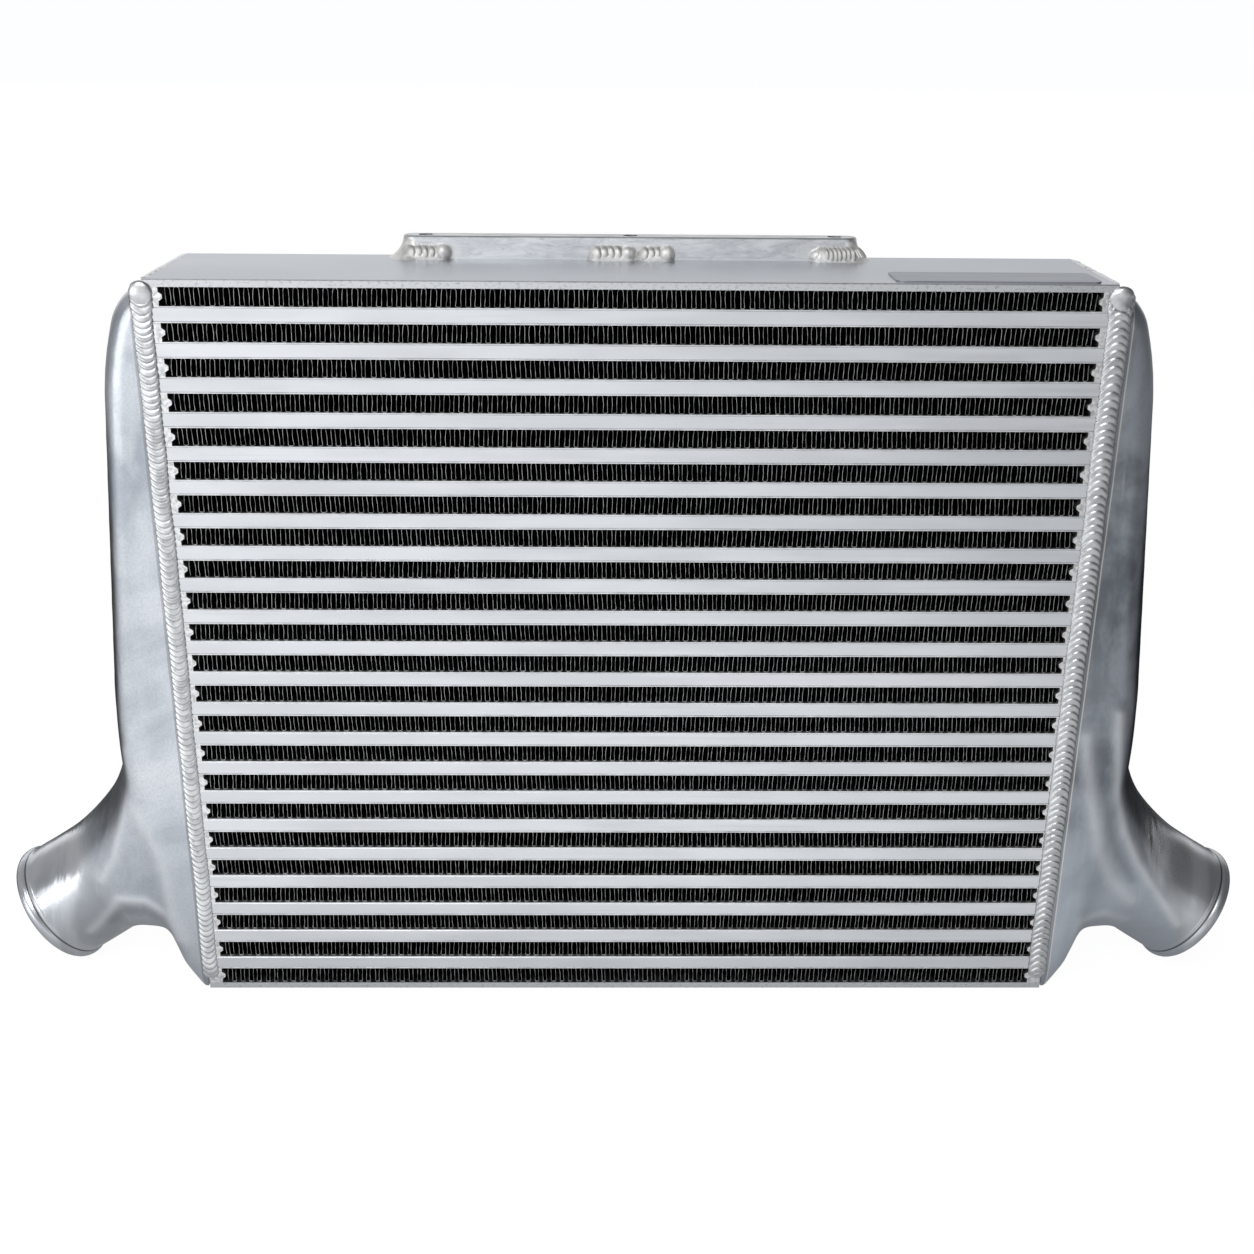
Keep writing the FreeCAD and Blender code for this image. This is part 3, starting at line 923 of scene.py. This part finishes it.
def top_ball(side, right, up, crown, lift, dark):
    """Height and painted shade of a seam bead where the ball at its upper end lies over it."""
    away = math.hypot(right, up) / ball_radius
    if side > 0:
        bearing = math.atan2(up, right)
        away *= 1 + 0.07 * math.sin(3 * bearing + 0.8) + 0.05 * math.sin(5 * bearing)
    if away < 1.08:
        ball = crown * 0.96 * math.sqrt(max(0.0, 1 - away * away))
        inside = min(1.0, max(0.0, (1.0 - away) / 0.12))
        lift = lift * (1 - inside) + max(ball, 0.2 * MM) * inside
        dark = dark * (1 - inside) + 0.8 * max(0.0, 1 - abs(away - 1.0) / 0.08)
    return lift, dark


def seam_bead(side, face, seed, row_step, columns):
    """Points, faces and shade of the wide bead down one seam of the core."""
    node = ("left" if side < 0 else "right") + "_tank_weld"
    low, high = span(node)
    chance = random.Random(seed)
    solid_half = (high[0] - low[0]) / 2
    inset, lean, foot_share, gain = weld_line[side]
    crown = high[1] - half_depth
    bottom = low[2] + 0.4 * MM
    top = core_top - 0.8 * MM
    length = top - bottom
    pitch, ripple, hang, slant, darkness, upward = ripple_style[side]
    drifts = [smooth_noise(chance, length, step) for step in wander_steps]
    rows = int(length / row_step)
    sunk = 0.3 * MM
    points = []
    shade = []
    for i in range(rows + 1):
        along = length * i / rows
        from_top = length - along
        height_here = bottom + along
        half = solid_half * (foot_share + gain * height_here)
        rounding = end_rounding(min(along, from_top), half)
        near_foot = 1 - min(1.0, along / (9 * MM))
        near_ball = 1 - min(1.0, max(0.0, (from_top - 2 * ball_drop) / (3 * MM)))
        fade = 1 - 0.6 * near_foot
        wander = [drift(along) for drift in drifts]
        width_off, centre_off, pitch_off, crown_off, hang_off, slant_off, size_off = wander
        centre = side * (half_width - inset + lean * height_here)
        centre += 0.35 * MM * centre_off * rounding
        hang_here = hang * (1 + 0.18 * hang_off)
        slant_here = slant * (1 + 0.5 * slant_off)
        ripple_here = ripple * (0.92 + 0.16 * size_off)
        for j in range(columns):
            u = -1 + 2 * j / (columns - 1)
            phase = (along + hang_here * (1 - u * u) + slant_here * u) / pitch
            phase += 0.16 * pitch_off
            height, valley = ripple_shape(phase, upward)
            edge_fade = min(1.0, 3.5 * (1 - abs(u)))
            width = half * (0.91 - 0.05 * abs(width_off) + 0.06 * height * fade) * rounding
            width += 0.12 * half * near_ball * rounding
            if side < 0:
                width += 0.14 * half * near_foot * rounding
            x = centre + u * width
            lift = crown * (0.68 + 0.05 * crown_off) * (1 - u * u) ** 0.82 * rounding
            if side < 0:
                lift *= 1 - 0.5 * near_foot
            lift += ripple_here * (height - 0.4) * fade * edge_fade * rounding
            # Painted shade in the valleys between the ripples.
            dark = valley * fade * darkness * edge_fade
            lift, dark = top_ball(side, x - centre, from_top - ball_drop, crown, lift, dark)
            lift = min(max(lift, 0.02 * MM), crown - 0.02 * MM)
            y = face * (half_depth + lift) if abs(u) < 1 else face * (half_depth - sunk)
            points.append((x, y, height_here))
            # Painted shade along the roots of the bead and, on the right, over its right flank.
            root = max(0.0, (abs(u) - 0.84) / 0.16) * 0.85
            flank = 0.35 * min(1.0, max(0.0, (u + 0.1) / 0.9)) if side > 0 else 0.0
            shade.append(min(1.0, max(dark, root, flank)))
    return points, strip_faces(rows + 1, columns, face > 0), shade


def top_bead(side, seed):
    """Thin ground bead over the top of one seam."""
    chance = random.Random(seed)
    reach = half_depth - 4 * MM
    length = 2 * reach
    rows = int(length / (0.7 * MM))
    columns = 9
    width = 2.0 * MM
    lumps = smooth_noise(chance, length, 3.5 * MM)
    drift = smooth_noise(chance, length, 8 * MM)
    dashes = smooth_noise(chance, length, 2.6 * MM)
    points = []
    shade = []
    for i in range(rows + 1):
        along = length * i / rows
        rounding = end_rounding(min(along, length - along), width)
        for j in range(columns):
            u = -1 + 2 * j / (columns - 1)
            lift = (0.32 + 0.16 * lumps(along)) * MM * (1 - u * u) * rounding
            x = side * half_width + (u * width * (0.85 + 0.15 * drift(along))) * rounding
            z = core_top - 0.2 * MM if abs(u) >= 1 else core_top + max(lift, 0.0)
            points.append((x, along - reach, z))
            shade.append(0.7 if dashes(along) > 0.55 and abs(u) > 0.4 else 0.0)
    return points, strip_faces(rows + 1, columns, True), shade


def tank_welds():
    """Front, rear and top bead of both seams, one piece on each side."""
    for side, name in ((-1, "left"), (1, "right")):
        parts = [
            seam_bead(side, -1, 11 + side, 0.4 * MM, 25),
            seam_bead(side, 1, 21 + side, 0.55 * MM, 19),
            top_bead(side, 31 + side),
        ]
        points, faces, shade = joined(parts)
        node = name + "_tank_weld"
        piece = name + "_seam_beads"
        mesh_piece(piece, points, faces, "welds", replaced=(node,), layers={"shade": shade})


# Ripples and end balls of the rail's welds

rail_face = rail_low[1]
rail_end_radius = (rail_high[1] - rail_low[1]) / 2
rail_hub = rail_high[0] - rail_end_radius
rail_middle = (rail_low[1] + rail_high[1]) / 2

# Runs of ripples on the rail's front face, in millimetres: place of the first, step, count,
# radius and its gain at each step, thickness, turn in degrees, and seed.
wall_runs = (
    (-128.0, 3.7, 5, 5.5, 0.05, 3.8, 40, 50),
    (-20.5, 4.0, 4, 5.9, 0.0, 4.1, 48, 70),
    (7.8, 3.6, 3, 5.4, 0.0, 3.8, 40, 80),
    (113.0, 2.5, 7, 5.7, 0.07, 2.6, 30, 92),
)

# Their round ends: place, out from the face, height over the core, three radii, and seed.
wall_balls = (
    (-109.4, 1.7, 3.6, (5.2, 5.0, 5.2), 60),
    (-1.6, 1.3, 3.0, (5.9, 4.9, 5.3), 76),
    (20.8, 1.5, 3.2, (5.3, 4.9, 5.2), 86),
    (109.2, 0.8, 2.6, (5.0, 4.6, 4.4), 90),
)

# Runs that fan round the rail's ends: side, first turn and step in degrees, count, radius and
# its gain, thickness, rise and its loss, and seed.
end_runs = (
    (1, 8, 11, 11, 6.4, 0.12, 1.7, 9.2, 0.1, 100),
    (-1, 10, 16, 3, 5.6, 0.0, 2.6, 7.2, 0.3, 120),
)


def lump(centre, axes, radii, seed, rings, segments, rim=0.0):
    """A slightly uneven ball with three radii, along three axes, with painted shade round its rim by
    a share.
    """
    chance = random.Random(seed)
    swell = [chance.uniform(-0.03, 0.03) for _ in range(4)]
    points = []
    shade = []
    for i in range(rings + 1):
        tilt = math.pi * i / rings
        for j in range(segments):
            turn = 2 * math.pi * j / segments
            uneven = 1 + swell[0] * math.cos(2 * turn) + swell[1] * math.sin(3 * turn)
            uneven += swell[2] * math.sin(tilt * 5 + turn)
            flat = math.sin(tilt) * uneven
            local = (math.cos(tilt), flat * math.cos(turn), flat * math.sin(turn))
            point = np.array(centre)
            for axis, radius, share in zip(axes, radii, local):
                point = point + np.array(axis) * radius * share
            points.append(point)
            shade.append(rim * min(1.0, max(0.0, (math.sin(tilt) - 0.72) / 0.25)))
    faces = []
    for i in range(rings):
        for j in range(segments):
            a = i * segments + j
            b = i * segments + (j + 1) % segments
            faces.append((a, b, b + segments, a + segments))
    return points, faces, shade


def wall_ripple(x, radius, thickness, seed, turn):
    """One ripple of a bead along the rail's front face, turned so that its edge shows as an arc."""
    turn = math.radians(turn)
    facing = (-math.cos(turn), -math.sin(turn), 0)
    across = (-math.sin(turn), math.cos(turn), 0)
    centre = (x, rail_face - 0.9 * MM, core_top + 2.2 * MM)
    radii = (thickness, radius, radius * 1.04)
    return lump(centre, (facing, across, (0, 0, 1)), radii, seed, 16, 28, 0.5)


def end_ripple(side, turn, radius, thickness, rise, seed):
    """One ripple of the bead that fans round an end of the rail."""
    out = np.array((side * math.sin(turn), -math.cos(turn), 0))
    along = np.array((side * math.cos(turn), math.sin(turn), 0))
    hub = np.array((side * rail_hub, rail_middle, core_top + 0.6 * MM))
    centre = hub + out * (rail_end_radius - 0.4 * MM)
    lean = np.array((0, 0, 1)) - out * 0.35
    lean /= np.linalg.norm(lean)
    return lump(centre, (along, out, lean), (thickness, radius, rise), seed, 14, 24, 0.25)


def rail_ripples():
    """Ripples and round ends over the plain weld bodies, as one piece."""
    parts = []
    for first, step, count, radius, gain, thickness, turn, seed in wall_runs:
        for i in range(count):
            size = (radius + gain * i) * MM
            parts.append(wall_ripple((first + step * i) * MM, size, thickness * MM, seed + i, turn))
    for x, out, up, radii, seed in wall_balls:
        centre = (x * MM, rail_face - out * MM, core_top + up * MM)
        parts.append(lump(centre, np.eye(3), [r * MM for r in radii], seed, 18, 36))
    for side, first, step, count, radius, gain, thickness, rise, loss, seed in end_runs:
        for i in range(count):
            turn = math.radians(first + step * i)
            size = (radius + gain * i) * MM
            height = (rise - loss * i) * MM
            parts.append(end_ripple(side, turn, size, thickness * MM, height, seed + i))
    points, faces, shade = joined(parts)
    mesh_piece("rail_weld_ripples", points, faces, "frosty_welds", layers={"shade": shade})


# Floor, lights and camera

floor_half = 14.0
floor_drop = 0.1 * MM
seen_floor = 0.95

# Lamps: name, place, width, height and power.
lamps = (
    ("key", (-0.6, -1.8, 2.2), 1.6, 1.2, 18),
    ("low_left", (-1.7, -1.6, 0.45), 1.3, 1.0, 6.5),
)
lamp_target = (0, 0, 0.2)


def product(tree, *limits):
    """Brightness from axes, each with two places and the share at both."""
    result = 1.0
    for axis, low, high, at_low, at_high in limits:
        result = combine(tree, "MULTIPLY", result, map_range(tree, axis, low, high, at_low, at_high))
    return result


def floor_material():
    """White as it is seen; the metal mirrors it bright in front and behind the core's middle."""
    material = bpy.data.materials.new("pale_floor")
    material.use_nodes = True
    tree = material.node_tree
    tree.nodes.clear()
    new, link = tree.nodes.new, tree.links.new
    place = new("ShaderNodeTexCoord").outputs["Object"]
    split = new("ShaderNodeSeparateXYZ")
    link(place, split.inputs["Vector"])
    x, y = split.outputs["X"], split.outputs["Y"]
    side_reach = combine(tree, "ABSOLUTE", x)
    front = product(tree, (y, -0.25, 0.16, 0.90, 0.06), (x, 0.0, 0.95, 1.0, 0.27))
    rear = product(tree, (y, 0.10, 0.45, 0.0, 1.3), (side_reach, 0.14, 0.34, 1.0, 0.0))
    far = product(tree, (y, 1.2, 1.8, 0.0, 0.55))
    beside = product(tree, (side_reach, 1.5, 2.1, 0.0, 0.5))
    brightness = front
    for part in (rear, far, beside):
        brightness = combine(tree, "MAXIMUM", brightness, part)
    mirrored = new("ShaderNodeEmission")
    link(brightness, mirrored.inputs["Strength"])
    fill(mirrored, Color=(0.97, 0.985, 1.0, 1.0))
    seen = new("ShaderNodeEmission")
    fill(seen, Strength=seen_floor)
    paint = new("ShaderNodeBsdfDiffuse")
    fill(paint, Color=(0.12, 0.12, 0.12, 1.0))
    both = new("ShaderNodeAddShader")
    link(seen.outputs[0], both.inputs[0])
    link(paint.outputs[0], both.inputs[1])
    choice = new("ShaderNodeMixShader")
    link(new("ShaderNodeLightPath").outputs["Is Camera Ray"], choice.inputs["Fac"])
    link(mirrored.outputs[0], choice.inputs[1])
    link(both.outputs[0], choice.inputs[2])
    output = new("ShaderNodeOutputMaterial")
    link(choice.outputs[0], output.inputs["Surface"])
    return material


def floor():
    points = [(x * floor_half, y * floor_half, 0) for x, y in ((-1, -1), (1, -1), (1, 1), (-1, 1))]
    mesh = bpy.data.meshes.new("floor")
    mesh.from_pydata(points, [], [(0, 1, 2, 3)])
    mesh.materials.append(floor_material())
    plane = placed("floor", mesh)
    plane.location.z = -floor_drop


def area_light(name, place, width, height, power):
    lamp = bpy.data.lights.new(name, "AREA")
    lamp.shape = "RECTANGLE"
    lamp.size = width
    lamp.size_y = height
    lamp.energy = power
    made = placed(name, lamp)
    made.location = place
    made.rotation_euler = (Vector(lamp_target) - Vector(place)).to_track_quat("-Z", "Y").to_euler()


def world():
    """White as it is seen; the metal mirrors a studio that is brighter behind and on the left."""
    surroundings = bpy.data.worlds.new("studio")
    surroundings.use_nodes = True
    tree = surroundings.node_tree
    background = tree.nodes["Background"]
    coordinates = tree.nodes.new("ShaderNodeTexCoord")
    split = tree.nodes.new("ShaderNodeSeparateXYZ")
    tree.links.new(coordinates.outputs["Generated"], split.inputs["Vector"])
    x, y, z = (split.outputs[name] for name in "XYZ")
    brightness = product(tree, (x, -0.7, 0.7, 0.42, 0.16))
    rear = product(tree, (y, 0.45, 0.8, 0.0, 0.62), (z, 0.62, 0.8, 1.0, 0.2))
    front = product(tree, (y, -0.92, -0.65, 0.62, 0.0), (z, 0.1, 0.35, 1.0, 0.0))
    high = product(tree, (y, -0.8, -0.45, 0.42, 0.0), (z, 0.25, 0.5, 0.0, 1.0))
    high = combine(tree, "MULTIPLY", high, map_range(tree, x, -0.1, 0.6, 1.0, 0.45))
    for part in (rear, front, high):
        brightness = combine(tree, "ADD", brightness, part)
    seen = tree.nodes.new("ShaderNodeLightPath").outputs["Is Camera Ray"]
    shown = combine(tree, "MAXIMUM", brightness, seen)
    tree.links.new(shown, background.inputs["Strength"])
    fill(background, Color=(0.985, 0.99, 1.0, 1.0))
    bpy.context.scene.world = surroundings


camera_focal_length = 46.16
camera_place = (-14.6 * MM, -922.9 * MM, 576.2 * MM)
camera_tilt = math.radians(20.767)
camera_yaw = math.radians(0.862)
camera_roll = math.radians(0.486)


def camera():
    lens = bpy.data.cameras.new("camera")
    lens.sensor_fit = "HORIZONTAL"
    lens.sensor_width = 36.0
    lens.lens = camera_focal_length
    lens.clip_start = 0.01
    ahead = Vector((math.sin(camera_yaw), math.cos(camera_yaw), 0))
    forward = ahead * math.cos(camera_tilt) - Vector((0, 0, math.sin(camera_tilt)))
    level_right = Vector((math.cos(camera_yaw), -math.sin(camera_yaw), 0))
    level_up = level_right.cross(forward)
    right = level_right * math.cos(camera_roll) + level_up * math.sin(camera_roll)
    up = level_up * math.cos(camera_roll) - level_right * math.sin(camera_roll)
    made = placed("camera", lens)
    turn = Matrix((right, up, -forward)).transposed()
    made.matrix_world = Matrix.Translation(camera_place) @ turn.to_4x4()
    bpy.context.scene.camera = made


# The whole scene

dress("bottom_plate", "plates")
dress("top_plate", "plates")
for passage in range(1, passages + 1):
    dress("tube_bars_%02d" % passage, "bars")
dress("turbulators", "turbulators")
dress("parting_sheets", "sheets")
dress("closing_bars_left", "closing_bars")
dress("closing_bars_right", "closing_bars")
tank(-1)
tank(1)
dress("mounting_rail", "rail")
dress("rail_welds", "frosty_welds")
dress("name_plate", "label_plate")
for row in range(1, fin_rows + 1):
    fin_row(row)
tank_welds()
rail_ripples()
floor()
world()
for lamp in lamps:
    area_light(*lamp)
camera()
bpy.context.scene.view_settings.view_transform = "Standard"
